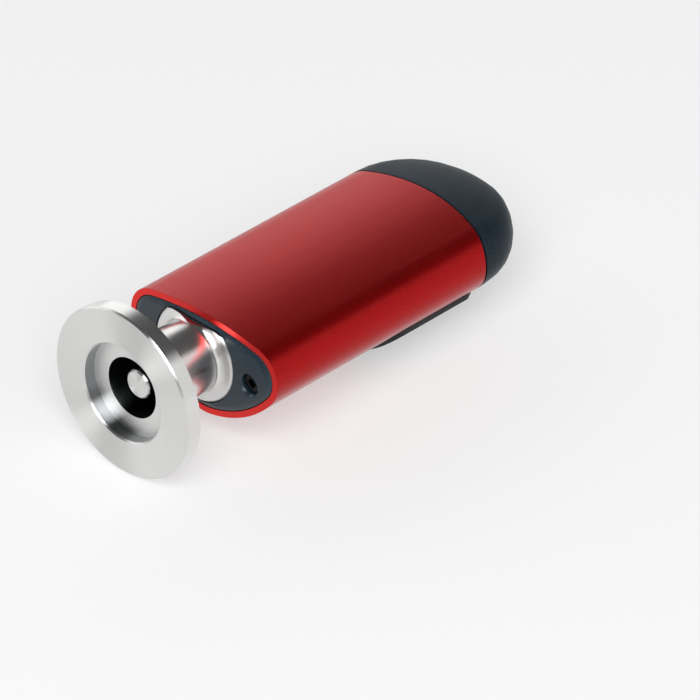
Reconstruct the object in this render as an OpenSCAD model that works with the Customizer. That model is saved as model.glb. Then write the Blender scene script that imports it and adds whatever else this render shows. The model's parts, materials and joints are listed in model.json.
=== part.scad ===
// Pirani vacuum gauge with a small clamped vacuum flange, sizes in millimetres.
// Origin at the centre of the sealing face, Y along the gauge towards the rear, Z up.

/* [Flange and sensor] */
// Outside diameter of the flange rim
flange_diameter = 30; // [29.6:0.1:30.4]
// Thickness of the flange rim before its taper
rim_thickness = 2.8; // [2:0.1:4]
// Angle of the clamping taper behind the rim
taper_angle = 15; // [12:0.5:18]
// Chamfer at the edges of the rim
rim_chamfer = 0.3; // [0.1:0.05:0.5]
// Diameter of the recess for the centring ring
recess_diameter = 17.2; // [17:0.05:17.5]
// Depth of that recess
recess_depth = 2.4; // [2:0.1:3.5]
// Diameter of the bore through the neck
bore_diameter = 10.7; // [9:0.1:11.4]
// Outside diameter of the neck
neck_diameter = 12.6; // [12:0.1:14]
// Rounding between neck and base
neck_fillet = 1.3; // [0.5:0.1:2]
// Distance from the sealing face to the front of the sensor base
base_front = 16.2; // [14:0.1:20]
// Diameter of the sensor base
base_diameter = 17.2; // [15:0.1:17.6]
// Height of the flat on top of the base, above the axis
base_flat = 6.35; // [6.3:0.05:7]
// Length that the facets at its two ends take off that flat
base_facet = 0.8; // [0.4:0.1:1.2]
// Angle of those facets to the flat
facet_angle = 22; // [15:1:30]
// Chamfer round the front of the base
base_chamfer = 0.35; // [0.1:0.05:0.6]
// Diameter of the shoulder behind the front plate, before its trimming to the housing
shoulder_diameter = 20.4; // [19:0.1:21]
// Clearance between the shoulder and the housing wall
shoulder_clearance = 0.3; // [0.2:0.05:0.5]
// Thickness of that shoulder
shoulder_thickness = 2; // [1.5:0.1:3]
// Diameter of the hub behind the shoulder
hub_diameter = 13.8; // [13:0.1:14]
// Length of that hub
hub_length = 4.2; // [3:0.1:6]

/* [Measuring cell] */
// Outside diameter of the cell tube
tube_diameter = 5.1; // [4:0.1:6]
// Wall of the cell tube
tube_wall = 0.6; // [0.4:0.05:1]
// Distance from the sealing face to the closed end of the tube
tube_front = 3.6; // [3:0.1:6]
// Thickness of the closed end
tube_end = 1.2; // [0.8:0.1:2]
// Diameter of the gas ports near the foot of the tube
port_diameter = 1.5; // [1:0.1:2]
// Diameter of the filament
filament_diameter = 0.3; // [0.1:0.05:0.5]
// Diameter of the filament posts
post_diameter = 0.7; // [0.5:0.05:1]
// Distance of each post from the axis
post_offset = 1.1; // [0.9:0.05:1.2]
// Diameter of the feedthrough header
header_diameter = 12; // [11:0.1:12.6]
// Thickness of the header
header_thickness = 2; // [1.5:0.1:3]
// Diameter of the glass beads round the posts
bead_diameter = 1.8; // [1.4:0.1:2]

/* [Housing section] */
// Width across the corners of the housing
housing_width = 33.1; // [31:0.1:35]
// Height of the top above the flange axis
top_height = 8.45; // [8:0.05:9]
// Depth of the lowest edge below the flange axis
apex_depth = 10.6; // [10.4:0.05:11.5]
// Radius of the slightly curved top
top_radius = 60; // [45:1:90]
// Radius of the two side corners
corner_radius = 5.65; // [5:0.05:6.2]
// Radius of the two lower flanks
flank_radius = 23.2; // [21:0.1:28]
// Radius of the lowest edge
apex_radius = 9; // [7:0.1:10]
// Sideways distance from the flange axis to the middle of the housing
sensor_offset = 1.7; // [1:0.1:2]
// Wall of the housing
housing_wall = 1.15; // [1.1:0.05:1.5]

/* [Housing length] */
// Distance from the sealing face to the front edge of the housing
housing_front = 16.8; // [15:0.1:20]
// Distance from the sealing face to the middle of the arched rear edge
housing_rear = 68.7; // [64:0.1:75]
// Radius of the arched rear edge
arch_radius = 45; // [40:1:80]
// Clearance between the housing and what plugs into it
plug_clearance = 0.12; // [0.1:0.01:0.2]
// Length of the ledge behind the front plate
ledge_length = 1.2; // [0.8:0.1:2]
// Width of that ledge
ledge_width = 0.9; // [0.6:0.1:1.2]

/* [Front plate] */
// Thickness of the front plate
plate_thickness = 4; // [3:0.1:5]
// How far the plate stands out of the housing edge
plate_proud = 0.45; // [0:0.05:0.5]
// Width of the chamfer round the plate
plate_chamfer = 1.1; // [0.4:0.05:1.2]
// Depth of that chamfer
plate_chamfer_depth = 0.5; // [0.2:0.05:1]
// Least width of plate left beside the sensor base
plate_rim = 0.5; // [0.4:0.05:0.8]
// Gap between the plate and the sensor base
base_gap = 0.12; // [0.1:0.01:0.15]
// Thickness of the gasket between plate and shoulder
gasket_thickness = 0.3; // [0.2:0.05:0.6]
// Thickness of the clamp plate
clamp_thickness = 1.8; // [1.5:0.1:3]
// Clearance round the hub in the clamp plate and round the pillars
hub_clearance = 0.2; // [0.1:0.05:0.4]
// Diameter of the pillars of the clamp plate
pillar_diameter = 3.2; // [3:0.1:3.4]

/* [Fasteners] */
// Shank diameter of the tie screw
tie_diameter = 2; // [1.6:0.1:2.2]
// Head diameter of the tie screw
tie_head = 3.2; // [3:0.1:3.6]
// Head height of the tie screw
tie_head_height = 1.6; // [1.2:0.1:2]
// Depth of the counterbore in the front plate
counterbore_depth = 2.4; // [2:0.1:2.8]
// Clearance round the tie screw and its head
screw_clearance = 0.15; // [0.1:0.01:0.3]
// Chamfer at the mouth of the counterbore
mouth_chamfer = 0.4; // [0.2:0.05:0.6]
// Width across flats of the socket in the tie screw
hex_width = 1.5; // [1.3:0.1:2]
// Place of the tie screw, from the middle of the housing
tie_side = 10.5; // [10:0.1:11]
// Height of the tie screw relative to the flange axis
tie_height = -0.3; // [-1:0.1:1]
// Outside diameter of the threaded insert
insert_diameter = 3.4; // [3:0.1:4]
// Length of the threaded insert
insert_length = 5.4; // [4:0.1:6]
// Shank diameter of the clamp screws
clamp_screw_diameter = 1.6; // [1.4:0.1:2]
// Head diameter of the clamp screws
clamp_screw_head = 2.8; // [2.4:0.1:3]
// Distance of the clamp screws from the sides of the housing
clamp_screw_inset = 4.05; // [3.9:0.05:4.4]
// Height of the left clamp screw above the flange axis
left_screw_height = 1.8; // [1.4:0.1:2.4]
// Height of the right clamp screw above the flange axis
right_screw_height = 3.2; // [2.8:0.1:3.4]
// Shank diameter of the cap screw
cap_screw_diameter = 2; // [1.6:0.1:2.5]
// Head diameter of the cap screw
cap_screw_head = 3.6; // [3:0.1:4]
// Head height of the cap screw
cap_head_height = 0.5; // [0.4:0.05:0.6]
// Depth of that head below the outside of the housing
cap_head_sink = 0.2; // [0.1:0.05:0.25]
// Distance from the front of the plug of the cap to the cap screw
cap_screw_setback = 3; // [2.5:0.1:3.5]

/* [End cap] */
// Distance from the sealing face to where the dome begins
dome_start = 67.4; // [65:0.1:70]
// Depth of the dome
dome_depth = 13.4; // [11:0.1:16]
// Height of the end of the dome above the flange axis
dome_height = 4.9; // [3:0.1:6]
// Size of the end of the dome as a share of the section
dome_tip = 0.07; // [0.04:0.01:0.2]
// Distance from the sealing face to the front of the plug of the cap
plug_front = 60.4; // [58:0.1:63]
// Wall of that plug
plug_wall = 1.5; // [1.2:0.1:2]
// Diameter of the boss for the threaded insert
boss_diameter = 5.6; // [5:0.1:6]
// Width of the shadow line between cap and housing
seam_width = 0.3; // [0.2:0.05:0.5]
// Depth of that shadow line
seam_depth = 0.55; // [0.3:0.05:0.7]

/* [Underside panel] */
// Thickness of the panel
panel_thickness = 0.75; // [0.6:0.05:1.4]
// Length of the panel along its middle
panel_length = 23; // [18:0.1:24]
// Distance from the arched rear edge of the panel to the edge of the housing
panel_rear_gap = 0.3; // [0.2:0.05:1]
// Width of the panel
panel_width = 27.6; // [22:0.1:28]
// Radius of the front corners of the panel
panel_corner = 5; // [3:0.1:6]
// Radius of the rear corners of the panel
rear_corner = 2.2; // [1.5:0.1:3]
// Width of the bevel round the panel
panel_bevel = 0.9; // [0.5:0.05:1.5]
// Thickness left at the edge of the panel
panel_edge = 0.1; // [0.1:0.05:0.4]
// Diameter of the pegs of the panel
peg_diameter = 2.4; // [2:0.1:3]
// Distance between the pegs
peg_spacing = 8; // [6:0.5:9]
// Gap between the rear peg and the plug of the cap
peg_gap = 0.5; // [0.3:0.1:1]

/* [Boards] */
// Height of the lower side of the main board above the axis
board_height = 5; // [4.6:0.05:5.1]
// Thickness of the boards
board_thickness = 1.2; // [1:0.1:1.3]
// Width of the main board
board_width = 19; // [17:0.1:19.2]
// Distance from the sealing face to the front of the main board
board_front = 30.2; // [30:0.1:34]
// Distance from the sealing face to the rear of the main board
board_rear = 73.4; // [70:0.1:73.6]
// Diameter of the sensor board
sensor_board_diameter = 13; // [11:0.1:13.4]
// Distance between header and sensor board
sensor_board_gap = 1.2; // [0.6:0.1:2]
// Thickness of the link pins
pin_size = 0.6; // [0.4:0.05:0.64]
// Distance between the link pins
pin_pitch = 2.54; // [2:0.01:2.54]
// Thickness of the board rails in the housing
rail_thickness = 0.8; // [0.6:0.05:1]
// Height of the link pins above the axis
link_height = 3.6; // [3.4:0.05:3.8]
// Distance between the sensor board and the upright part of the link pins
link_reach = 2.4; // [2.2:0.1:2.8]

/* [Board parts] */
// Width of the controller chip
controller_width = 7; // [6:0.1:8]
// Thickness of the controller chip
controller_thickness = 1.2; // [1:0.1:1.6]
// Distance from the front of the main board to the middle of the controller chip
controller_setback = 11.8; // [11:0.1:12]
// Width of each amplifier chip
amplifier_width = 4; // [3.8:0.1:4.4]
// Length of each amplifier chip
amplifier_length = 5; // [4.6:0.1:5.2]
// Thickness of each amplifier chip
amplifier_thickness = 1.6; // [1.2:0.1:1.8]
// Sideways place of the amplifier chips
amplifier_side = 5; // [4.6:0.1:5.4]
// Distance from the front of the main board to the middle of the amplifier chips
amplifier_setback = 19.8; // [19.4:0.1:20]
// Width of the voltage regulator
regulator_width = 6.4; // [6:0.1:6.8]
// Length of the voltage regulator
regulator_length = 5.6; // [5:0.1:6]
// Thickness of the voltage regulator
regulator_thickness = 2.3; // [1.8:0.1:2.6]
// Sideways place of the voltage regulator
regulator_side = 5; // [4.6:0.1:5.4]
// Distance from the front of the main board to the middle of the voltage regulator
regulator_setback = 26.8; // [26.4:0.1:27]
// Diameter of the storage capacitors
capacitor_diameter = 5; // [4:0.1:5.4]
// Height of the storage capacitors
capacitor_height = 6; // [5:0.1:7]
// Sideways place of the storage capacitors
capacitor_side = 5; // [4.8:0.1:5.4]
// Distance from the front of the main board to the first storage capacitor
first_capacitor = 5.8; // [5.4:0.1:6]
// Distance from the front of the main board to the second storage capacitor
second_capacitor = 26.4; // [26:0.1:26.6]
// Length of each chip resistor
resistor_length = 2; // [1.6:0.1:2.2]
// Width of each chip resistor
resistor_width = 1.25; // [0.8:0.05:1.4]
// Thickness of each chip resistor
resistor_thickness = 0.5; // [0.4:0.05:0.7]
// Distance between the chip resistors
resistor_pitch = 2.2; // [2:0.1:2.3]
// Sideways place of the chip resistors
resistor_side = 7; // [6.8:0.1:7.4]
// Distance from the front of the main board to the first left chip resistor
left_resistor = 9.8; // [9.6:0.1:10]
// Distance from the front of the main board to the first right chip resistor
right_resistor = 8.8; // [8.6:0.1:9]
// Width of the crystal can
crystal_width = 3.2; // [3:0.1:3.6]
// Length of the crystal can
crystal_length = 5; // [4.6:0.1:5.2]
// Height of the crystal can
crystal_height = 1.3; // [1:0.1:1.6]
// Distance from the front of the main board to the middle of the crystal can
crystal_setback = 19.4; // [19:0.1:19.8]
// Width of the trimmer
trimmer_width = 4.6; // [4:0.1:5]
// Height of the trimmer
trimmer_height = 3.4; // [3:0.1:4]
// Sideways place of the trimmer
trimmer_side = 5; // [4.6:0.1:5.4]
// Distance from the front of the main board to the middle of the trimmer
trimmer_setback = 5.2; // [4.8:0.1:5.4]
// Length of the slot in the trimmer
slot_length = 2.8; // [2:0.1:3]
// Width and depth of the slot in the trimmer
slot_width = 0.6; // [0.4:0.1:0.8]

/* [Socket] */
// Width of the socket body
socket_width = 15.2; // [14:0.1:15.6]
// Height of the socket body
socket_height = 11.2; // [10.5:0.1:11.4]
// Distance from the sealing face to the face of the socket
socket_face = 74; // [72:0.1:74.4]
// Depth of the socket body
socket_depth = 13.5; // [12:0.1:14]
// Width of the plug opening
plug_width = 11.8; // [11.6:0.05:12]
// Height of the plug opening
plug_height = 6.8; // [6.6:0.05:7]
// Width of the latch slot
latch_width = 6.4; // [6:0.1:6.6]
// Height of the latch slot
latch_height = 1.5; // [1.2:0.1:1.6]
// Depth of the plug opening
plug_depth = 11.5; // [11:0.1:12]
// Gap between socket and cap
socket_gap = 0.25; // [0.15:0.05:0.4]
// Distance between the socket contacts
contact_pitch = 1.02; // [1:0.01:1.04]
// Width of each socket contact
contact_width = 0.4; // [0.3:0.05:0.5]

/* [Hidden] */

flange_r = flange_diameter / 2;
recess_r = recess_diameter / 2;
bore_r = bore_diameter / 2;
neck_r = neck_diameter / 2;
base_r = base_diameter / 2;
shoulder_r = shoulder_diameter / 2;
hub_r = hub_diameter / 2;
tube_r = tube_diameter / 2;
post_r = post_diameter / 2;
header_r = header_diameter / 2;
half_width = housing_width / 2;

// Axial places of the stack behind the flange
plate_front = housing_front - plate_proud;
plate_back = plate_front + plate_thickness;
shoulder_front = plate_back + gasket_thickness;
shoulder_back = shoulder_front + shoulder_thickness;
hub_back = shoulder_back + hub_length;
header_front = hub_back - header_thickness;
clamp_back = shoulder_back + clamp_thickness;
sensor_board_front = hub_back + sensor_board_gap;
sensor_board_back = sensor_board_front + board_thickness;
taper_r = neck_r + 1;
taper_end = rim_thickness + (flange_r - taper_r) * tan(taper_angle);

// Centres of the arcs of the housing section
corner_x = half_width - corner_radius;
top_centre = top_height - top_radius;
corner_z = top_centre + sqrt(pow(top_radius - corner_radius, 2) - pow(corner_x, 2));
apex_z = apex_radius - apex_depth;
flank_to_corner = flank_radius - corner_radius;
flank_to_apex = flank_radius - apex_radius;
side_length = norm([corner_x, corner_z - apex_z]);
side_unit = [-corner_x, apex_z - corner_z] / side_length;
side_part = (pow(flank_to_corner, 2) - pow(flank_to_apex, 2) + pow(side_length, 2)) / (2 * side_length);
side_rise = sqrt(pow(flank_to_corner, 2) - pow(side_part, 2));
flank_centre = [corner_x, corner_z] + side_part * side_unit + side_rise * [side_unit[1], -side_unit[0]];
top_turn = atan2(corner_z - top_centre, corner_x);
flank_turn = atan2(corner_z - flank_centre[1], corner_x - flank_centre[0]);
apex_turn = atan2(apex_z - flank_centre[1], -flank_centre[0]);

// Points of one arc, without its last point
function arc(centre, radius, from, to, steps) =
    [for (k = [0 : steps - 1]) centre + radius * [cos(from + (to - from) * k / steps), sin(from + (to - from) * k / steps)]];
// Right half of the section from the middle of the top to the lowest edge, moved inwards by inset
function half_outline(inset) = concat(
    arc([0, top_centre], top_radius - inset, 90, top_turn, 8),
    arc([corner_x, corner_z], corner_radius - inset, top_turn, flank_turn, 14),
    arc(flank_centre, flank_radius - inset, flank_turn, apex_turn, 12),
    arc([0, apex_z], apex_radius - inset, apex_turn, -90, 8),
    [[0, apex_z - apex_radius + inset]]);
// Closed section with equal left and right sides
function outline(inset) =
    let (half = half_outline(inset), last = len(half) - 1)
    concat(half, [for (k = [1 : last - 1]) [-half[last - k][0], half[last - k][1]]]);
// One ring of the end cap, shrunk towards the end of the dome
function dome_ring(share, place) =
    [for (p = outline(0)) [p[0] * share, place, dome_height + (p[1] - dome_height) * share]];
function dome_share(angle) = dome_tip + (1 - dome_tip) * cos(angle);
function plate_ring(inset, place) = [for (p = outline(inset)) [p[0], place, p[1]]];

plug_inset = housing_wall + plug_clearance;
cavity_inset = plug_inset + plug_wall;
clamp_inset = housing_wall + ledge_width + 0.2;
socket_top = board_height;
socket_bottom = board_height - socket_height;
socket_back = socket_face - socket_depth;
plug_top = socket_top - 2.4;
plug_bottom = plug_top - plug_height;
insert_front = plug_front + 0.2;
screw_floor = plate_front + counterbore_depth;
clamp_screw_side = half_width - clamp_screw_inset;
clamp_screw_places = [[-clamp_screw_side, left_screw_height], [clamp_screw_side, right_screw_height]];
cap_screw_place = plug_front + cap_screw_setback;
peg_middle = plug_front - peg_gap - (peg_diameter + peg_spacing) / 2;
link_back = sensor_board_back + link_reach;
arch_middle = housing_rear - arch_radius;
panel_front = housing_rear - panel_rear_gap - panel_length;
facet_start = sqrt(pow(base_r, 2) - pow(base_flat, 2)) - base_facet;

// Point below the housing at a sideways place, lifted off the surface by lift
apex_join = apex_radius * cos(apex_turn);
function lower_point(x, lift) =
    let (
        near = abs(x) < apex_join,
        centre = near ? [0, apex_z] : flank_centre,
        radius = near ? apex_radius : flank_radius,
        across = (abs(x) - centre[0]) / radius,
        place = centre + (radius + lift) * [across, -sqrt(1 - across * across)])
    [sign(x) * place[0], place[1]];
// Sideways places across the panel, closer together round its corners
function panel_columns(half, corner) = concat(
    [for (angle = [-90 : 15 : -15]) -(half - corner) + corner * sin(angle)],
    [for (k = [0 : 12]) (half - corner) * (k / 6 - 1)],
    [for (angle = [15 : 15 : 90]) (half - corner) + corner * sin(angle)]);
// How far a rounded corner of the panel cuts back its front or rear edge at a sideways place
function corner_cut(x, half, corner) = corner - sqrt(pow(corner, 2) - pow(max(0, abs(x) - half + corner), 2));
// Points along the front and rear edges of the panel, moved inwards by inset and lifted off the housing by lift
function panel_border(inset, lift) =
    let (half = panel_width / 2 - inset, front_round = panel_corner - inset, rear_round = rear_corner - inset)
    [for (x = panel_columns(half, front_round))
        let (
            p = lower_point(x, lift),
            arch = arch_middle + sqrt(pow(arch_radius, 2) - pow(x, 2)),
            front = panel_front + inset + corner_cut(x, half, front_round),
            rear = arch - panel_rear_gap - inset - corner_cut(x, half, rear_round))
        each [[p[0], front, p[1]], [p[0], rear, p[1]]]];

// Turned piece, profile given as radius and axial place
module turned() {
    rotate([-90, 0, 0]) rotate_extrude($fn = 128) children();
}

// Round piece along the gauge axis
module round_y(radius, from, to) {
    translate([0, from, 0]) rotate([-90, 0, 0]) cylinder(r = radius, h = to - from, $fn = 64);
}

// Section in the X and Z plane drawn out along Y
module drawn(from, to) {
    translate([0, to, 0]) rotate([90, 0, 0]) linear_extrude(height = to - from) children();
}

// Everything that is centred on the housing
module housing_place() {
    translate([sensor_offset, 0, 0]) children();
}

module section(inset) {
    polygon(outline(inset));
}

// Closed skin through a list of rings of equal point count
module skin(rings) {
    count = len(rings[0]);
    last = len(rings) - 1;
    polyhedron(
        points = [for (ring = rings) for (p = ring) p],
        faces = concat(
            [[for (k = [0 : count - 1]) k]],
            [for (r = [0 : last - 1]) for (k = [0 : count - 1])
                [r * count + k, (r + 1) * count + k, (r + 1) * count + (k + 1) % count, r * count + (k + 1) % count]],
            [[for (k = [0 : count - 1]) last * count + count - 1 - k]]),
        convexity = 4);
}

module sensor_body() {
    color([0.78, 0.78, 0.77])
    union() {
        turned_body();
        drawn(shoulder_front, shoulder_back) difference() {
            shoulder_outline();
            circle(r = hub_r, $fn = 128);
        }
    }
}

// Shoulder with its flat on top, trimmed to the housing and round the clamp pillars
module shoulder_outline() {
    difference() {
        intersection() {
            circle(r = shoulder_r, $fn = 128);
            translate([-flange_r, -flange_r]) square([flange_diameter, flange_r + base_flat]);
            translate([sensor_offset, 0]) section(housing_wall + shoulder_clearance);
        }
        for (place = clamp_screw_places)
            translate([place[0] + sensor_offset, place[1]]) circle(d = pillar_diameter + 2 * hub_clearance, $fn = 48);
    }
}

// Flange, neck, base and hub turned from one bar, with the flat cut across the base
module turned_body() {
    difference() {
        turned() difference() {
            union() {
                polygon([
                    [recess_r + rim_chamfer, 0], [flange_r - rim_chamfer, 0], [flange_r, rim_chamfer],
                    [flange_r, rim_thickness], [taper_r, taper_end], [neck_r, taper_end + 1],
                    [neck_r, base_front], [base_r - base_chamfer, base_front],
                    [base_r, base_front + base_chamfer], [base_r, shoulder_back], [hub_r, shoulder_back],
                    [hub_r, hub_back], [header_r, hub_back], [header_r, header_front],
                    [bore_r, header_front], [bore_r, recess_depth], [recess_r, recess_depth],
                    [recess_r, rim_chamfer]]);
                translate([neck_r - 0.2, base_front - neck_fillet]) square([neck_fillet + 0.2, neck_fillet + 0.2]);
            }
            translate([neck_r + neck_fillet, base_front - neck_fillet]) circle(r = neck_fillet, $fn = 64);
        }
        drawn(base_front - neck_fillet - 0.2, shoulder_back) difference() {
            square(2 * flange_diameter, center = true);
            base_room(0);
        }
    }
}

module cell_tube() {
    color([0.8, 0.8, 0.78])
    difference() {
        turned() polygon([
            [0, tube_front], [tube_r - 0.3, tube_front], [tube_r, tube_front + 0.3], [tube_r, header_front],
            [tube_r - tube_wall, header_front], [tube_r - tube_wall, tube_front + tube_end],
            [0, tube_front + tube_end]]);
        for (turn = [45, 135])
            translate([0, header_front - 3, 0]) rotate([0, turn, 0])
                translate([0, 0, -tube_diameter]) cylinder(d = port_diameter, h = 2 * tube_diameter, $fn = 32);
    }
}

filament_front = tube_front + tube_end + 1.2;
filament_back = header_front - 2;

module filament() {
    color([0.55, 0.55, 0.58])
    round_y(filament_diameter / 2, filament_front + post_r, filament_back - post_r);
}

module filament_posts() {
    color([0.75, 0.72, 0.6])
    for (side = [[1, filament_front], [-1, filament_back]]) {
        translate([side[0] * post_offset, 0, 0]) round_y(post_r, side[1], sensor_board_back + 0.6);
        translate([0, side[1], 0]) rotate([0, side[0] * 90, 0]) cylinder(r = post_r, h = post_offset, $fn = 32);
    }
}

module header_disc() {
    color([0.7, 0.7, 0.68])
    difference() {
        round_y(header_r, header_front, hub_back);
        for (side = [-1, 1])
            translate([side * post_offset, 0, 0]) round_y(bead_diameter / 2, header_front - 1, hub_back + 1);
    }
}

module glass_seals() {
    color([0.45, 0.6, 0.58])
    for (side = [-1, 1])
        translate([side * post_offset, 0, 0]) difference() {
            round_y(bead_diameter / 2, header_front, hub_back);
            round_y(post_r, header_front - 1, hub_back + 1);
        }
}

// Room left to the sensor base by its flat, its facets and the rim of the front plate, grown by grow
module base_room(grow) {
    intersection() {
        translate([-flange_r, -flange_r]) square([flange_diameter, flange_r + base_flat + grow]);
        intersection_for (side = [0, 1]) mirror([side, 0])
            translate([facet_start, base_flat] + grow * [sin(facet_angle), cos(facet_angle)]) rotate(-facet_angle)
                translate([-2 * flange_diameter, -3 * flange_diameter]) square([4 * flange_diameter, 3 * flange_diameter]);
        translate([sensor_offset, 0]) section(plug_inset + plate_rim - grow);
    }
}

// Outline of the sensor base, grown by grow
module base_outline(grow) {
    intersection() {
        circle(r = base_r + grow, $fn = 128);
        base_room(grow);
    }
}

module sensor_gasket() {
    color([0.08, 0.08, 0.08])
    drawn(plate_back, shoulder_front) difference() {
        shoulder_outline();
        base_outline(0);
    }
}

module front_plate() {
    color([0.2, 0.24, 0.27])
    difference() {
        housing_place() skin([
            plate_ring(plug_inset + plate_chamfer, plate_front),
            plate_ring(plug_inset, plate_front + plate_chamfer_depth),
            plate_ring(plug_inset, plate_back)]);
        drawn(plate_front - 1, plate_back + 1) base_outline(base_gap);
        housing_place() {
            translate([tie_side, 0, tie_height]) {
                round_y(tie_diameter / 2 + screw_clearance, plate_front - 1, plate_back + 1);
                round_y(tie_head / 2 + screw_clearance, plate_front - 1, screw_floor);
                turned() polygon([
                    [0, plate_front - 0.1], [tie_head / 2 + screw_clearance + mouth_chamfer + 0.1, plate_front - 0.1],
                    [tie_head / 2 + screw_clearance, plate_front + mouth_chamfer], [0, plate_front + mouth_chamfer]]);
            }
            for (place = clamp_screw_places)
                translate([place[0], 0, place[1]])
                    round_y(clamp_screw_diameter / 2, plate_back - 2.6, plate_back + 1);
        }
    }
}

module clamp_plate() {
    color([0.72, 0.73, 0.75])
    difference() {
        union() {
            housing_place() drawn(shoulder_back, clamp_back) section(clamp_inset);
            housing_place() for (place = clamp_screw_places)
                translate([place[0], 0, place[1]]) round_y(pillar_diameter / 2, plate_back, shoulder_back + 0.5);
        }
        round_y(hub_r + hub_clearance, shoulder_back - 1, clamp_back + 1);
        housing_place() {
            translate([tie_side, 0, tie_height])
                round_y(tie_diameter / 2 + screw_clearance, shoulder_back - 1, clamp_back + 1);
            for (place = clamp_screw_places)
                translate([place[0], 0, place[1]])
                    round_y(clamp_screw_diameter / 2, plate_back - 1, clamp_back + 1);
        }
    }
}

module clamp_screws() {
    color([0.6, 0.6, 0.6])
    housing_place() for (place = clamp_screw_places)
        translate([place[0], 0, place[1]]) difference() {
            union() {
                round_y(clamp_screw_diameter / 2, plate_back - 2.4, clamp_back + 0.5);
                round_y(clamp_screw_head / 2, clamp_back, clamp_back + 1.2);
            }
            translate([-clamp_screw_head, clamp_back + 0.7, -0.2]) cube([2 * clamp_screw_head, 1, 0.4]);
        }
}

module tie_screw() {
    color([0.1, 0.1, 0.11])
    housing_place() translate([tie_side, 0, tie_height]) difference() {
        union() {
            round_y(tie_diameter / 2, screw_floor - 0.2, insert_front + insert_length - 0.6);
            round_y(tie_head / 2, screw_floor - tie_head_height, screw_floor);
        }
        translate([0, screw_floor - tie_head_height - 0.1, 0]) rotate([-90, 0, 0])
            cylinder(d = hex_width / cos(30), h = 1.1, $fn = 6);
    }
}

module tie_insert() {
    color([0.76, 0.6, 0.28])
    housing_place() translate([tie_side, 0, tie_height]) difference() {
        round_y(insert_diameter / 2, insert_front, insert_front + insert_length);
        round_y(tie_diameter / 2, insert_front - 1, insert_front + insert_length + 1);
    }
}

// Rail that carries one side of the main board, hanging from the top wall
module rail() {
    lip = board_height;
    polygon([
        [board_width / 2 - 0.9, lip - rail_thickness], [board_width / 2 + 0.15 + rail_thickness, lip - rail_thickness],
        [board_width / 2 + 0.15 + rail_thickness, top_height - housing_wall], [board_width / 2 + 0.15, top_height - housing_wall],
        [board_width / 2 + 0.15, lip], [board_width / 2 - 0.9, lip]]);
}

module housing_shell() {
    color([0.66, 0.07, 0.08])
    difference() {
        housing_place() union() {
            intersection() {
                drawn(housing_front, housing_rear + 1) difference() {
                    section(0);
                    section(housing_wall);
                }
                translate([0, housing_rear - arch_radius, -2 * half_width])
                    cylinder(r = arch_radius, h = 4 * half_width, $fn = 256);
            }
            drawn(plate_back, plate_back + ledge_length) difference() {
                section(housing_wall - 0.3);
                section(housing_wall + ledge_width);
                translate([-sensor_offset, 0]) circle(r = shoulder_r + hub_clearance, $fn = 128);
                for (place = clamp_screw_places)
                    translate(place) circle(d = pillar_diameter + 2 * hub_clearance, $fn = 48);
            }
            drawn(board_front, plug_front - 0.4) intersection() {
                section(housing_wall - 0.3);
                for (side = [0, 1]) mirror([side, 0]) rail();
            }
        }
        for (k = [-1, 1])
            translate([sensor_offset, peg_middle + k * peg_spacing / 2, -apex_depth - 1])
                cylinder(d = peg_diameter, h = housing_wall + 2, $fn = 48);
        translate([sensor_offset, cap_screw_place, -apex_depth - 1]) {
            cylinder(d = cap_screw_diameter + 2 * screw_clearance, h = housing_wall + 2, $fn = 48);
            cylinder(d = cap_screw_head, h = 1 + cap_head_sink + cap_head_height, $fn = 48);
        }
    }
}

module end_cap() {
    color([0.2, 0.24, 0.27])
    difference() {
        housing_place() union() {
            difference() {
                skin(concat(
                    [dome_ring(1, housing_rear - 6)],
                    [for (angle = [0, 10, 20, 30, 40, 50, 60, 70, 80, 90])
                        dome_ring(dome_share(angle), dome_start + dome_depth * sin(angle))]));
                translate([0, housing_rear - arch_radius, -2 * half_width])
                    cylinder(r = arch_radius, h = 4 * half_width, $fn = 256);
                difference() {
                    translate([0, housing_rear - arch_radius, -2 * half_width])
                        cylinder(r = arch_radius + seam_width, h = 4 * half_width, $fn = 256);
                    drawn(housing_rear - 8, housing_rear + 1) section(seam_depth);
                }
                drawn(housing_rear - 8, dome_start + 1.5) section(cavity_inset);
            }
            drawn(plug_front, housing_rear + 0.4) difference() {
                section(plug_inset);
                section(cavity_inset);
            }
            translate([tie_side, 0, tie_height]) round_y(boss_diameter / 2, plug_front, dome_start + 3);
            intersection() {
                drawn(plug_front, dome_start + 2) section(plug_inset);
                translate([-3, plug_front, -apex_depth]) cube([6, dome_start - plug_front, apex_depth - 6.9]);
            }
        }
        housing_place() {
            translate([tie_side, 0, tie_height]) {
                round_y(insert_diameter / 2, plug_front - 1, insert_front + insert_length);
            }
            translate([-socket_width / 2 - socket_gap, plug_front - 1, socket_bottom - socket_gap])
                cube([socket_width + 2 * socket_gap, dome_depth + 20, socket_height + 2 * socket_gap]);
            translate([-board_width / 2 - socket_gap, plug_front - 1, board_height - socket_gap])
                cube([board_width + 2 * socket_gap, board_rear - plug_front + 1 + socket_gap, board_thickness + 2 * socket_gap]);
            translate([0, cap_screw_place, -apex_depth - 1]) cylinder(d = cap_screw_diameter, h = 4, $fn = 48);
        }
    }
}

module cap_screw() {
    color([0.6, 0.6, 0.6])
    translate([sensor_offset, cap_screw_place, -apex_depth + cap_head_sink]) difference() {
        union() {
            cylinder(d = cap_screw_head, h = cap_head_height, $fn = 48);
            cylinder(d = cap_screw_diameter, h = 2.6, $fn = 48);
        }
        translate([-cap_screw_head, -0.2, -1]) cube([2 * cap_screw_head, 0.4, 1 + cap_head_height / 2]);
    }
}

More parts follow.
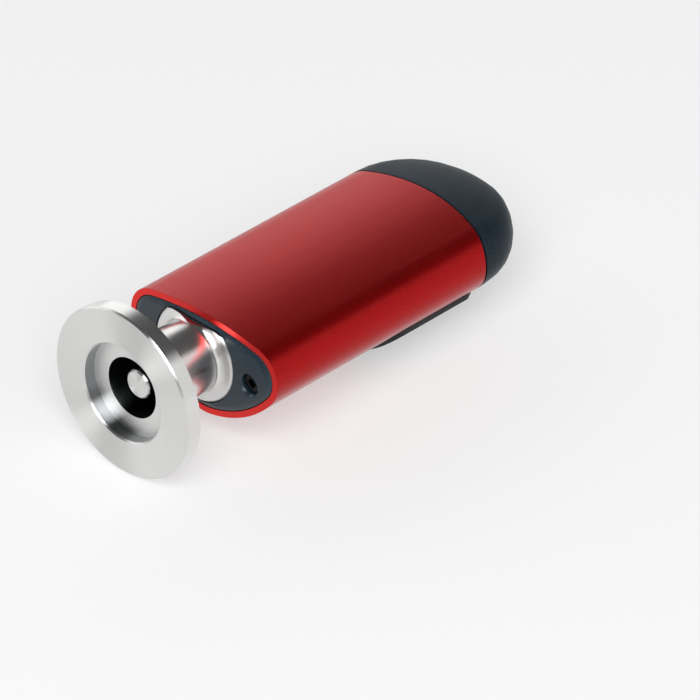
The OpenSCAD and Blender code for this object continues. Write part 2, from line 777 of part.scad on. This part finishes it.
module underside_panel() {
    color([0.11, 0.12, 0.14])
    housing_place() {
        difference() {
            panel_form();
            drawn(panel_front - 1, housing_rear + 1) section(0);
        }
        for (k = [-1, 1])
            translate([0, peg_middle + k * peg_spacing / 2, -apex_depth - panel_thickness / 2])
                cylinder(d = peg_diameter, h = panel_thickness / 2 + housing_wall + 0.6, $fn = 48);
    }
}

// Outside of the panel with its bevelled border, reaching a little into the housing
module panel_form() {
    points = concat(
        panel_border(0, -panel_edge), panel_border(0, panel_edge), panel_border(panel_bevel, panel_thickness));
    hull() polyhedron(points = points, faces = [for (k = [0 : len(points) - 3]) [k, k + 1, k + 2]]);
}

module sensor_board() {
    color([0.1, 0.35, 0.2])
    difference() {
        round_y(sensor_board_diameter / 2, sensor_board_front, sensor_board_back);
        for (side = [-1, 1])
            translate([side * post_offset, 0, 0]) round_y(post_r, sensor_board_front - 1, sensor_board_back + 1);
        link_holes();
    }
}

// Square pin holes through the sensor board
module link_holes() {
    for (k = [-1.5 : 1 : 1.5])
        translate([k * pin_pitch - pin_size / 2, sensor_board_front - 1, link_height])
            cube([pin_size, board_thickness + 2, pin_size]);
}

module link_pins() {
    color([0.85, 0.75, 0.4])
    for (k = [-1.5 : 1 : 1.5])
        translate([k * pin_pitch - pin_size / 2, 0, 0]) union() {
            translate([0, sensor_board_front - 0.6, link_height])
                cube([pin_size, link_back - sensor_board_front + 0.6 + pin_size, pin_size]);
            translate([0, link_back, link_height])
                cube([pin_size, pin_size, board_height + board_thickness + 0.5 - link_height]);
        }
}

module main_board() {
    color([0.1, 0.38, 0.22])
    difference() {
        translate([sensor_offset - board_width / 2, board_front, board_height])
            cube([board_width, board_rear - board_front, board_thickness]);
        for (k = [-1.5 : 1 : 1.5])
            translate([k * pin_pitch - pin_size / 2, link_back, board_height - 1])
                cube([pin_size, pin_size, board_thickness + 2]);
    }
}

// Component block hanging below the main board, by the place of its middle on the board and its size
module part_block(side, setback, size) {
    translate([sensor_offset + side - size[0] / 2, board_front + setback - size[1] / 2, board_height - size[2]])
        cube(size);
}

module controller_chip() {
    color([0.12, 0.12, 0.13])
    part_block(0, controller_setback, [controller_width, controller_width, controller_thickness]);
}

module amplifier_chips() {
    color([0.13, 0.13, 0.14])
    for (side = [-1, 1])
        part_block(side * amplifier_side, amplifier_setback, [amplifier_width, amplifier_length, amplifier_thickness]);
}

module voltage_regulator() {
    color([0.15, 0.15, 0.15])
    part_block(regulator_side, regulator_setback, [regulator_width, regulator_length, regulator_thickness]);
}

module storage_capacitors() {
    color([0.3, 0.34, 0.5])
    for (setback = [first_capacitor, second_capacitor])
        translate([sensor_offset - capacitor_side, board_front + setback, board_height - capacitor_height])
            cylinder(d = capacitor_diameter, h = capacitor_height, $fn = 48);
}

module chip_resistors() {
    color([0.2, 0.2, 0.22])
    for (k = [0 : 3]) for (row = [[-resistor_side, left_resistor], [resistor_side, right_resistor]])
        part_block(row[0], row[1] + k * resistor_pitch, [resistor_length, resistor_width, resistor_thickness]);
}

module crystal_can() {
    color([0.75, 0.75, 0.76])
    part_block(0, crystal_setback, [crystal_width, crystal_length, crystal_height]);
}

module trimmer() {
    color([0.1, 0.3, 0.65])
    difference() {
        part_block(trimmer_side, trimmer_setback, [trimmer_width, trimmer_width, trimmer_height]);
        translate([sensor_offset + trimmer_side - slot_length / 2, board_front + trimmer_setback - slot_width / 2,
            board_height - trimmer_height - 0.1])
            cube([slot_length, slot_width, slot_width + 0.1]);
    }
}

module modular_socket() {
    color([0.07, 0.07, 0.08])
    translate([sensor_offset, 0, 0]) difference() {
        translate([-socket_width / 2, socket_back, socket_bottom]) cube([socket_width, socket_depth, socket_height]);
        translate([-plug_width / 2, socket_face - plug_depth, plug_bottom])
            cube([plug_width, plug_depth + 1, plug_height]);
        translate([-latch_width / 2, socket_face - plug_depth, plug_bottom - latch_height])
            cube([latch_width, plug_depth + 1, latch_height + 0.1]);
    }
}

module socket_contacts() {
    color([0.85, 0.7, 0.3])
    for (k = [-3.5 : 1 : 3.5])
        translate([sensor_offset + k * contact_pitch - contact_width / 2, 0, 0])
            rotate([90, 0, 90]) linear_extrude(height = contact_width) polygon([
                [socket_face - 2.6, plug_top], [socket_face - 3.2, plug_top],
                [socket_face - plug_depth + 1, plug_top - 1.7], [socket_face - plug_depth + 1, plug_top - 2.0],
                [socket_face - plug_depth + 1.4, plug_top - 2.0]]);
}

sensor_body();
cell_tube();
filament();
filament_posts();
header_disc();
glass_seals();
sensor_gasket();
front_plate();
clamp_plate();
clamp_screws();
tie_screw();
tie_insert();
housing_shell();
end_cap();
cap_screw();
underside_panel();
sensor_board();
link_pins();
main_board();
controller_chip();
amplifier_chips();
voltage_regulator();
storage_capacitors();
chip_resistors();
crystal_can();
trimmer();
modular_socket();
socket_contacts();
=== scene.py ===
"""Looks of the pirani vacuum gauge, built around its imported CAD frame."""

import json
import math

import bpy
from mathutils import Matrix, Vector


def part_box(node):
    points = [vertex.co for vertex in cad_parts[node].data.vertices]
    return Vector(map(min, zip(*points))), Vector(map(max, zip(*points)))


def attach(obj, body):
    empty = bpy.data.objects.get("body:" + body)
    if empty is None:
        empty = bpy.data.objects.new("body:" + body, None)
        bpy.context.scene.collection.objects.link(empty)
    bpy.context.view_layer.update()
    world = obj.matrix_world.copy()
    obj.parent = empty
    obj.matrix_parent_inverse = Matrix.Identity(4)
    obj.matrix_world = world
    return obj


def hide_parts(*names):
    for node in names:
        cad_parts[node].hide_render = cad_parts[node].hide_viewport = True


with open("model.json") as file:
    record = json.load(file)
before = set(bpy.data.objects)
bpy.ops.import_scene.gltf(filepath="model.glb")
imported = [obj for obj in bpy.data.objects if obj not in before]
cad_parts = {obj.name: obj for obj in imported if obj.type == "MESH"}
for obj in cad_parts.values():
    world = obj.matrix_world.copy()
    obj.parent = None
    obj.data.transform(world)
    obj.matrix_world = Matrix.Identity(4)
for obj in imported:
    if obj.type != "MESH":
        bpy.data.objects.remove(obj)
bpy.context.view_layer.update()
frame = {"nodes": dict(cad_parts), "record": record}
nodes = frame["nodes"]

MM = 0.001


# Camera at the photograph's angle
PICTURE = 700
SENSOR = 36.0
CAMERA_AZIMUTH = math.radians(45.46)
CAMERA_ELEVATION = math.radians(34.6)
CAMERA_DISTANCE = 1.0225
CAMERA_NEAR = 0.01
CAMERA_FAR = 50
FOCAL_PIXELS = 6430.0
# Place of the flange centre in the picture, in pixels from its middle
FLANGE_RIGHT = -228.62
FLANGE_UP = -43.72


def aim_camera():
    """Puts the camera where the photograph was taken, with the picture's middle on its axis."""
    back = Vector((
        math.sin(CAMERA_AZIMUTH) * math.cos(CAMERA_ELEVATION),
        -math.cos(CAMERA_AZIMUTH) * math.cos(CAMERA_ELEVATION),
        math.sin(CAMERA_ELEVATION)))
    right = Vector((0, 0, 1)).cross(back).normalized()
    up = back.cross(right)
    forward = (-back * FOCAL_PIXELS - right * FLANGE_RIGHT - up * FLANGE_UP).normalized()
    level = (right - right.dot(forward) * forward).normalized()
    upright = level.cross(forward)
    turn = Matrix((level, upright, -forward)).transposed()
    bpy.ops.object.camera_add(location=back * CAMERA_DISTANCE)
    camera = bpy.context.object
    camera.name = "studio_camera"
    camera.rotation_mode = "QUATERNION"
    camera.rotation_quaternion = turn.to_quaternion()
    camera.data.sensor_width = SENSOR
    camera.data.lens = FOCAL_PIXELS * SENSOR / PICTURE
    camera.data.clip_start = CAMERA_NEAR
    camera.data.clip_end = CAMERA_FAR
    bpy.context.scene.camera = camera


# Steps that the finishes share
# Range that most of a noise pattern lies in
NOISE_LOW = 0.3
NOISE_HIGH = 0.7
# Depth of the grain on metal and of the grain on plastic
FINE_DEPTH = 0.02 * MM
PLASTIC_DEPTH = 0.04 * MM


def start_finish(name):
    """A new material with an empty node tree, and its shader."""
    finish = bpy.data.materials.new(name)
    finish.use_nodes = True
    tree = finish.node_tree
    tree.nodes.clear()
    shader = tree.nodes.new("ShaderNodeBsdfPrincipled")
    output = tree.nodes.new("ShaderNodeOutputMaterial")
    tree.links.new(shader.outputs["BSDF"], output.inputs["Surface"])
    return finish, tree, shader


def object_place(tree):
    """Object coordinates of the surface point."""
    return tree.nodes.new("ShaderNodeTexCoord").outputs["Object"]


def split(tree, vector):
    """The three parts of a vector."""
    parts = tree.nodes.new("ShaderNodeSeparateXYZ")
    tree.links.new(vector, parts.inputs["Vector"])
    return [parts.outputs[axis] for axis in "XYZ"]


def normal_along(tree):
    """How far the surface faces along the gauge, from -1 at the front to 1 at the rear."""
    geometry = tree.nodes.new("ShaderNodeNewGeometry")
    return split(tree, geometry.outputs["Normal"])[1]


def noise(tree, vector, scale, detail=2.0, roughness=0.5):
    """Grain of a given scale, per metre."""
    grain = tree.nodes.new("ShaderNodeTexNoise")
    grain.inputs["Scale"].default_value = scale
    grain.inputs["Detail"].default_value = detail
    grain.inputs["Roughness"].default_value = roughness
    tree.links.new(vector, grain.inputs["Vector"])
    return grain.outputs["Fac"]


def maths(tree, kind, first, second=None, third=None):
    """One sum on sockets or numbers."""
    step = tree.nodes.new("ShaderNodeMath")
    step.operation = kind
    for slot, value in zip(step.inputs, (first, second, third)):
        if value is None:
            continue
        if isinstance(value, (int, float)):
            slot.default_value = value
        else:
            tree.links.new(value, slot)
    return step.outputs["Value"]


def product(tree, first, *others):
    """Several values multiplied together."""
    for other in others:
        first = maths(tree, "MULTIPLY", first, other)
    return first


def without(tree, share):
    """What a share leaves of one."""
    return maths(tree, "SUBTRACT", 1.0, share)


def choose(tree, share, chosen, otherwise):
    """One value where the share is one, and another where it is nought."""
    first = product(tree, chosen, share)
    second = product(tree, otherwise, without(tree, share))
    return maths(tree, "ADD", first, second)


def spread(tree, value, low_in, high_in, low_out, high_out):
    """Maps a value from one range to another."""
    node = tree.nodes.new("ShaderNodeMapRange")
    node.inputs["From Min"].default_value = low_in
    node.inputs["From Max"].default_value = high_in
    node.inputs["To Min"].default_value = low_out
    node.inputs["To Max"].default_value = high_out
    tree.links.new(value, node.inputs["Value"])
    return node.outputs["Result"]


def vary(tree, grain, low, high):
    """Spreads a noise pattern over a range."""
    return spread(tree, grain, NOISE_LOW, NOISE_HIGH, low, high)


def tones(tree, value, stops):
    """Colour from a value, by stops of place and colour."""
    ramp = tree.nodes.new("ShaderNodeValToRGB")
    points = ramp.color_ramp.elements
    while len(points) < len(stops):
        points.new(0.5)
    for point, (place, colour) in zip(points, stops):
        point.position = place
        point.color = (*colour, 1)
    tree.links.new(value, ramp.inputs["Fac"])
    return ramp.outputs["Color"]


def bump(tree, shader, height, strength, distance):
    """Raises the surface by a height pattern."""
    relief = tree.nodes.new("ShaderNodeBump")
    relief.inputs["Strength"].default_value = strength
    relief.inputs["Distance"].default_value = distance
    tree.links.new(height, relief.inputs["Height"])
    tree.links.new(relief.outputs["Normal"], shader.inputs["Normal"])


def set_constants(shader, values):
    """Sets plain values on the shader's own sockets."""
    for name, value in values.items():
        shader.inputs[name].default_value = value


# Turned steel
STEEL_TINT = (0.77, 0.765, 0.755)
# Share of that tint left in the grooves
GROOVE_SHARE = 0.86
# Roughness of faces across the axis and of sides round it, each with its spread
FACE_ROUGHNESS = (0.25, 0.36)
SIDE_ROUGHNESS = (0.11, 0.18)
# A surface whose normal lies this far along the axis is a face
FACE_FROM = 0.6
# Width of the tool's lines and their height
RING_PITCH = 0.16 * MM
RING_STRENGTH = 0.12
# Grain of the sheen on the sides, per metre
SMEAR_SCALE = 160
# Stretch of the bore behind the recess, painted darker as painted shade
BORE_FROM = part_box("cell_tube")[1].x + 0.2 * MM
BORE_TO = 5.4 * MM
BORE_START = 2.5 * MM
BORE_PAINTED_SHADE = (0.24, 0.265, 0.275)
# Side of the recess, painted darker as painted shade
RECESS_TO = 9.0 * MM
RECESS_END = 2.6 * MM
RECESS_PAINTED_SHADE = (0.31, 0.325, 0.335)
# Places of the painted shade in the bore, of the painted shade on the side of the recess and of
# the plain steel on one scale of tones
BORE_SHADE_STOP = 0.02
RECESS_SHADE_STOP = 0.06
PLAIN_STOP = 0.1


def turned_steel(name):
    """Lathe-turned steel: rings on faces across the axis and fine lines round the sides, with
    painted shade in the bore and on the side of the recess.
    """
    finish, tree, shader = start_finish(name)
    x, y, z = split(tree, object_place(tree))
    radius = maths(tree, "SQRT", maths(tree, "ADD", product(tree, x, x), product(tree, z, z)))
    face = maths(tree, "GREATER_THAN", maths(tree, "ABSOLUTE", normal_along(tree)), FACE_FROM)

    line = tree.nodes.new("ShaderNodeCombineXYZ")
    tree.links.new(choose(tree, face, radius, y), line.inputs["X"])
    rings = noise(tree, line.outputs["Vector"], 1 / RING_PITCH, 3.0, 0.6)
    smear = noise(tree, object_place(tree), SMEAR_SCALE)

    # Painted shade: the bore behind the recess is given a darker tint
    outside_tube = maths(tree, "GREATER_THAN", radius, BORE_FROM)
    inside_bore = maths(tree, "LESS_THAN", radius, BORE_TO)
    past_recess = maths(tree, "GREATER_THAN", y, BORE_START)
    bore_painted_shade = product(tree, outside_tube, inside_bore, past_recess)
    # Painted shade on the side of the recess
    near_axis = maths(tree, "LESS_THAN", radius, RECESS_TO)
    near_front = maths(tree, "LESS_THAN", y, RECESS_END)
    recess_painted_shade = product(tree, near_axis, near_front, without(tree, face))
    plain = product(tree, rings, without(tree, maths(tree, "MAXIMUM", bore_painted_shade, recess_painted_shade)))
    shown = maths(tree, "MULTIPLY_ADD", recess_painted_shade, RECESS_SHADE_STOP, plain)
    groove = [GROOVE_SHARE * part for part in STEEL_TINT]
    stops = [
        (BORE_SHADE_STOP, BORE_PAINTED_SHADE),
        (RECESS_SHADE_STOP, RECESS_PAINTED_SHADE),
        (PLAIN_STOP, groove),
        (NOISE_LOW, groove),
        (NOISE_HIGH, STEEL_TINT)]
    tree.links.new(tones(tree, shown, stops), shader.inputs["Base Color"])

    satin = vary(tree, rings, *FACE_ROUGHNESS)
    bright = vary(tree, smear, *SIDE_ROUGHNESS)
    tree.links.new(choose(tree, face, satin, bright), shader.inputs["Roughness"])

    round_way = tree.nodes.new("ShaderNodeCombineXYZ")
    tree.links.new(z, round_way.inputs["X"])
    tree.links.new(product(tree, x, -1.0), round_way.inputs["Z"])
    unit = tree.nodes.new("ShaderNodeVectorMath")
    unit.operation = "NORMALIZE"
    tree.links.new(round_way.outputs["Vector"], unit.inputs[0])
    tree.links.new(unit.outputs["Vector"], shader.inputs["Tangent"])
    set_constants(shader, {"Metallic": 1.0, "Anisotropic": 1.0, "Anisotropic Rotation": 0.25})
    bump(tree, shader, rings, RING_STRENGTH, FINE_DEPTH)
    return finish


# Other metals
# Tint and mean roughness of each
METALS = {
    "black_steel": ((0.025, 0.025, 0.028), 0.3),
    "screw_steel": ((0.62, 0.61, 0.59), 0.28),
    "filament_wire": ((0.38, 0.38, 0.41), 0.35),
    "post_wire": ((0.66, 0.63, 0.55), 0.3),
    "insert_brass": ((0.72, 0.53, 0.22), 0.3),
    "gilt_contact": ((0.86, 0.66, 0.28), 0.22),
    "bare_aluminium": ((0.72, 0.73, 0.74), 0.4),
    "capacitor_can": ((0.24, 0.28, 0.42), 0.35),
}
SHEEN_SCALE = 900
SHEEN_SHARE = 0.82
SHEEN_SPREAD = 0.06
SHEEN_STRENGTH = 0.05


def plain_metal(name, tint, roughness):
    """Plated or drawn metal with a faint uneven sheen."""
    finish, tree, shader = start_finish(name)
    grain = noise(tree, object_place(tree), SHEEN_SCALE, 3.0)
    darker = [SHEEN_SHARE * part for part in tint]
    base = tones(tree, grain, [(NOISE_LOW, darker), (NOISE_HIGH, tint)])
    tree.links.new(base, shader.inputs["Base Color"])
    sheen = vary(tree, grain, roughness - SHEEN_SPREAD, roughness + SHEEN_SPREAD)
    tree.links.new(sheen, shader.inputs["Roughness"])
    set_constants(shader, {"Metallic": 1.0})
    bump(tree, shader, grain, SHEEN_STRENGTH, FINE_DEPTH)
    return finish


# Red anodised aluminium
# Reds of the blasted sides and of the front end, which is painted brighter as painted light,
# with their places on one scale of tones
RED_DARK = (0.30, 0.001, 0.002)
RED_LIGHT = (0.50, 0.004, 0.005)
RED_PAINTED_LIGHT = (0.74, 0.018, 0.014)
RED_STOPS = [(0.21, RED_DARK), (0.49, RED_LIGHT), (0.62, RED_PAINTED_LIGHT)]
# Shares of the painted light on the front end and of the grain on that scale
PAINTED_LIGHT_SHARE = 0.4
BLAST_SHARE = 0.7
# A surface that faces the front more than this gets the painted light
PAINTED_LIGHT_FROM = -0.8
BLAST_SCALE = 5200
BLAST_STRENGTH = 0.10
DYE_CLOUD_SCALE = 60
RED_ROUGHNESS = (0.34, 0.39)


def red_anodised(name):
    """Satin anodised aluminium, bead blasted before dyeing, with its front-facing end painted
    brighter as painted light.
    """
    finish, tree, shader = start_finish(name)
    place = object_place(tree)
    grain = noise(tree, place, BLAST_SCALE, 2.0, 0.6)
    cloud = noise(tree, place, DYE_CLOUD_SCALE, 3.0)
    # Painted light: faces turned to the front get a brighter red
    painted_light_end = maths(tree, "LESS_THAN", normal_along(tree), PAINTED_LIGHT_FROM)
    tone = maths(tree, "MULTIPLY_ADD", painted_light_end, PAINTED_LIGHT_SHARE, product(tree, grain, BLAST_SHARE))
    tree.links.new(tones(tree, tone, RED_STOPS), shader.inputs["Base Color"])
    tree.links.new(vary(tree, cloud, *RED_ROUGHNESS), shader.inputs["Roughness"])
    set_constants(shader, {
        "Metallic": 0.88,
        "Specular IOR Level": 0.2,
        "Coat Weight": 0.28,
        "Coat Roughness": 0.22,
        "Coat IOR": 1.35})
    bump(tree, shader, grain, BLAST_STRENGTH, FINE_DEPTH)
    return finish


# Plastics, rubber and ceramic
# Darkest and lightest tone, mean roughness, grain per metre, relief of the grain, shine
PLASTICS = {
    "slate_plastic": ((0.006, 0.012, 0.018), (0.015, 0.027, 0.038), 0.42, 3000, 0.45, 0.14),
    "smooth_slate": ((0.008, 0.018, 0.028), (0.014, 0.030, 0.044), 0.3, 3000, 0.12, 0.4),
    "black_plastic": ((0.006, 0.007, 0.009), (0.010, 0.012, 0.014), 0.5, 3000, 0.15, 0.1),
    "gasket_rubber": ((0.006, 0.006, 0.006), (0.012, 0.012, 0.012), 0.75, 1800, 0.2, 0.28),
    "chip_body": ((0.012, 0.012, 0.013), (0.022, 0.022, 0.024), 0.5, 4000, 0.15, 0.28),
    "chip_ceramic": ((0.015, 0.015, 0.017), (0.03, 0.03, 0.032), 0.35, 4000, 0.1, 0.28),
    "trimmer_body": ((0.008, 0.04, 0.20), (0.012, 0.06, 0.27), 0.3, 2500, 0.05, 0.28),
    "socket_plastic": ((0.007, 0.007, 0.008), (0.013, 0.013, 0.015), 0.45, 2600, 0.12, 0.28),
}
# Shares of the fine grain and of slow clouds in the tone
GRAIN_SHARE = 0.7
CLOUD_SHARE = 0.3
CLOUD_SCALE = 90
DARK_STOP = 0.36
LIGHT_STOP = 0.64
SMOOTHER = 0.06
ROUGHER = 0.08


def moulded_plastic(name, dark, light, roughness, grain_scale, relief, shine):
    """Moulded plastic with the fine texture of its tool."""
    finish, tree, shader = start_finish(name)
    place = object_place(tree)
    grain = noise(tree, place, grain_scale, 4.0, 0.6)
    cloud = product(tree, noise(tree, place, CLOUD_SCALE), CLOUD_SHARE)
    tone = maths(tree, "ADD", product(tree, grain, GRAIN_SHARE), cloud)
    base = tones(tree, tone, [(DARK_STOP, dark), (LIGHT_STOP, light)])
    tree.links.new(base, shader.inputs["Base Color"])
    rough = vary(tree, grain, roughness - SMOOTHER, roughness + ROUGHER)
    tree.links.new(rough, shader.inputs["Roughness"])
    set_constants(shader, {"Specular IOR Level": shine})
    bump(tree, shader, grain, relief, PLASTIC_DEPTH)
    return finish


# Sealing glass
GLASS_STOPS = [(0.4, (0.10, 0.22, 0.19)), (0.7, (0.20, 0.34, 0.30))]
SEED_SCALE = 3000
SEED_STRENGTH = 0.05


def bead_glass(name):
    """Sealing glass with fine seeds in it."""
    finish, tree, shader = start_finish(name)
    seeds = noise(tree, object_place(tree), SEED_SCALE)
    tree.links.new(tones(tree, seeds, GLASS_STOPS), shader.inputs["Base Color"])
    set_constants(shader, {"Roughness": 0.12, "Transmission Weight": 0.5})
    bump(tree, shader, seeds, SEED_STRENGTH, FINE_DEPTH)
    return finish


# Circuit board
TRACK_SCALE = 420
TRACK_TONES = {
    "Color1": (0.012, 0.10, 0.045, 1),
    "Color2": (0.016, 0.13, 0.055, 1),
    "Mortar": (0.03, 0.2, 0.09, 1),
}
WEAVE_SCALE = 2200
WEAVE_STRENGTH = 0.08
WEAVE_DEPTH = 0.03 * MM
MASK_ROUGHNESS = (0.25, 0.4)


def board_mask(name):
    """Green solder mask with faint tracks under it."""
    finish, tree, shader = start_finish(name)
    place = object_place(tree)
    weave = noise(tree, place, WEAVE_SCALE)
    tracks = tree.nodes.new("ShaderNodeTexBrick")
    tracks.inputs["Scale"].default_value = TRACK_SCALE
    for socket, tone in TRACK_TONES.items():
        tracks.inputs[socket].default_value = tone
    tree.links.new(place, tracks.inputs["Vector"])
    tree.links.new(tracks.outputs["Color"], shader.inputs["Base Color"])
    tree.links.new(vary(tree, weave, *MASK_ROUGHNESS), shader.inputs["Roughness"])
    bump(tree, shader, weave, WEAVE_STRENGTH, WEAVE_DEPTH)
    return finish


FINISHES = {
    "turned_steel": turned_steel("turned_steel"),
    "red_anodised": red_anodised("red_anodised"),
    "seal_glass": bead_glass("seal_glass"),
    "board_laminate": board_mask("board_laminate"),
}
for name, row in METALS.items():
    FINISHES[name] = plain_metal(name, *row)
for name, row in PLASTICS.items():
    FINISHES[name] = moulded_plastic(name, *row)


# Pieces
# Width of the rounding on the edges of each piece that is seen from outside
EDGE_WIDTHS = {
    "sensor_body": 0.08 * MM,
    "cell_tube": 0.08 * MM,
    "front_plate": 0.12 * MM,
    "housing_shell": 0.08 * MM,
    "end_cap": 0.1 * MM,
    "underside_panel": 0.12 * MM,
    "tie_screw": 0.12 * MM,
    "modular_socket": 0.2 * MM,
}
EDGE_SEGMENTS = 3
# Edges that bend more than the first angle are rounded, faces within the second are one
EDGE_ANGLE = math.radians(25)
FLAT_ANGLE = math.radians(0.4)
WELD = 0.002 * MM
SLOTS = {row["node"]: row["material_slot"] for row in frame["record"]["subparts"]}
# The front plate is smoother than the cap, which has the same slot
OWN_FINISHES = {"front_plate": "smooth_slate"}


def softened(node, piece, width):
    """A copy of a CAD node with its sharp edges rounded, standing for that node."""
    bpy.ops.object.select_all(action="DESELECT")
    made = bpy.data.objects.new(piece, nodes[node].data.copy())
    bpy.context.scene.collection.objects.link(made)
    made.data.name = piece
    made.select_set(True)
    bpy.context.view_layer.objects.active = made
    if made.data.has_custom_normals:
        bpy.ops.mesh.customdata_custom_splitnormals_clear()
    bpy.ops.object.mode_set(mode="EDIT")
    bpy.ops.mesh.select_mode(type="EDGE")
    bpy.ops.mesh.select_all(action="SELECT")
    bpy.ops.mesh.remove_doubles(threshold=WELD)
    bpy.ops.mesh.dissolve_limited(angle_limit=FLAT_ANGLE)
    bpy.ops.mesh.select_all(action="DESELECT")
    bpy.ops.mesh.edges_select_sharp(sharpness=EDGE_ANGLE)
    bpy.ops.mesh.bevel(offset=width, segments=EDGE_SEGMENTS, profile=0.5, clamp_overlap=True)
    bpy.ops.mesh.select_all(action="SELECT")
    bpy.ops.mesh.remove_doubles(threshold=WELD)
    bpy.ops.object.mode_set(mode="OBJECT")
    bpy.ops.object.shade_smooth_by_angle(angle=EDGE_ANGLE)
    evened = made.modifiers.new("evened_shading", "WEIGHTED_NORMAL")
    evened.keep_sharp = True
    bpy.ops.object.modifier_apply(modifier=evened.name)
    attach(made, "root")
    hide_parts(node)
    return made


def dress(thing, finish):
    """Gives a piece or CAD node one finish."""
    thing.data.materials.clear()
    thing.data.materials.append(FINISHES[finish])


for node, width in EDGE_WIDTHS.items():
    piece = softened(node, node + "_finished", width)
    dress(piece, OWN_FINISHES.get(node, SLOTS[node]))

for node, thing in nodes.items():
    dress(thing, SLOTS[node])


# Floor
FLOOR_SIZE = 12
# The floor lies this far below the rim, which it meets this far behind the sealing face
FLOOR_GAP = 0.05 * MM
RIM_MIDDLE = 1.5 * MM
PAPER_STOPS = [(NOISE_LOW, (0.915, 0.915, 0.915)), (NOISE_HIGH, (0.93, 0.93, 0.93))]
FIBRE_SCALE = 700
# Share of plain white in the floor, as seen directly and in the metal
FLOOR_LIFT = 0.45
MIRRORED_LIFT = 0.7


def lay_floor():
    """A pale floor that meets the rim of the flange and the rear of the panel."""
    front = Vector((0, RIM_MIDDLE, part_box("sensor_body")[0].z))
    rear = Vector((0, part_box("underside_panel")[1].y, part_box("underside_panel")[0].z))
    slope = math.atan2(rear.z - front.z, rear.y - front.y)
    middle = front - Vector((0, 0, FLOOR_GAP))
    bpy.ops.object.select_all(action="DESELECT")
    bpy.ops.mesh.primitive_plane_add(size=FLOOR_SIZE, location=middle, rotation=(slope, 0, 0))
    floor = bpy.context.object
    floor.name = "studio_floor"
    finish, tree, shader = start_finish("floor_paper")
    fibres = noise(tree, object_place(tree), FIBRE_SCALE, 3.0)
    tree.links.new(tones(tree, fibres, PAPER_STOPS), shader.inputs["Base Color"])
    set_constants(shader, {"Roughness": 0.9, "Specular IOR Level": 0.1})
    rays = tree.nodes.new("ShaderNodeLightPath").outputs
    indirect = maths(tree, "MAXIMUM", rays["Is Glossy Ray"], rays["Is Transmission Ray"])
    mirrored = product(tree, indirect, MIRRORED_LIFT)
    seen = maths(tree, "MULTIPLY_ADD", rays["Is Camera Ray"], FLOOR_LIFT, mirrored)
    white = tree.nodes.new("ShaderNodeEmission")
    lifted = tree.nodes.new("ShaderNodeMixShader")
    tree.links.new(seen, lifted.inputs["Fac"])
    tree.links.new(shader.outputs["BSDF"], lifted.inputs[1])
    tree.links.new(white.outputs["Emission"], lifted.inputs[2])
    tree.links.new(lifted.outputs["Shader"], tree.nodes["Material Output"].inputs["Surface"])
    floor.data.materials.append(finish)


# Lamp
LAMP_AIM = Vector((0.0, 0.035, 0.0))
LAMP_WAY = Vector((0.55, -0.75, 0.85))
LAMP_DISTANCE = 1.4
LAMP_SIZE = 1.0
LAMP_POWER = 19.2


def hang_lamp(name):
    """A soft lamp in front of the gauge, pointing at it."""
    place = LAMP_AIM + LAMP_WAY.normalized() * LAMP_DISTANCE
    bpy.ops.object.light_add(type="AREA", location=place)
    lamp = bpy.context.object
    lamp.name = name
    lamp.data.shape = "RECTANGLE"
    lamp.data.size = LAMP_SIZE
    lamp.data.size_y = LAMP_SIZE
    lamp.data.energy = LAMP_POWER
    lamp.rotation_mode = "QUATERNION"
    lamp.rotation_quaternion = (LAMP_AIM - place).to_track_quat("-Z", "Y")


# Surroundings
# Height up to which they are bright and height from which they are dim, with the light of each
BRIGHT_TO = 0.54
DIM_FROM = 0.72
BRIGHT_LIGHT = 0.95
DIM_LIGHT = 0.08
# How much higher the bright part reaches to the right and to the rear
LEAN_RIGHT = 0.06
LEAN_REAR = 0.1
# How much the height is drawn out towards the front and the rear
BEND = 0.7
# Light of the left and right sides, and how far out each is full
SIDE_FULL = 0.7
LEFT_LIGHT = 1.38
RIGHT_LIGHT = 0.94
# Where the rear and the front darken, from and to, with the light left there
REAR_FROM = 0.65
REAR_TO = 0.95
REAR_LIGHT = 0.45
FRONT_FROM = -0.45
FRONT_TO = -0.8
FRONT_LIGHT = 0.15


def set_world():
    """A pale tent round the gauge: bright low down, dim overhead, darker in front and behind."""
    world = bpy.data.worlds.new("studio_world")
    bpy.context.scene.world = world
    world.use_nodes = True
    tree = world.node_tree
    shade = tree.nodes["Background"]
    way = tree.nodes.new("ShaderNodeTexCoord").outputs["Generated"]
    x, y, z = split(tree, way)
    across = without(tree, product(tree, y, y, BEND))
    rise = maths(tree, "DIVIDE", z, maths(tree, "SQRT", across))
    right = maths(tree, "MAXIMUM", x, 0.0)
    lean = maths(tree, "MULTIPLY_ADD", right, LEAN_RIGHT, product(tree, y, LEAN_REAR))
    height = maths(tree, "SUBTRACT", rise, lean)
    glow = spread(tree, height, BRIGHT_TO, DIM_FROM, BRIGHT_LIGHT, DIM_LIGHT)
    side = spread(tree, x, -SIDE_FULL, SIDE_FULL, LEFT_LIGHT, RIGHT_LIGHT)
    rear = spread(tree, y, REAR_FROM, REAR_TO, 1.0, REAR_LIGHT)
    front = spread(tree, y, FRONT_TO, FRONT_FROM, FRONT_LIGHT, 1.0)
    tree.links.new(product(tree, glow, side, rear, front), shade.inputs["Strength"])
    shade.inputs["Color"].default_value = (1, 1, 1, 1)


aim_camera()
lay_floor()
set_world()
hang_lamp("front_lamp")

bpy.context.scene.view_settings.view_transform = "Standard"
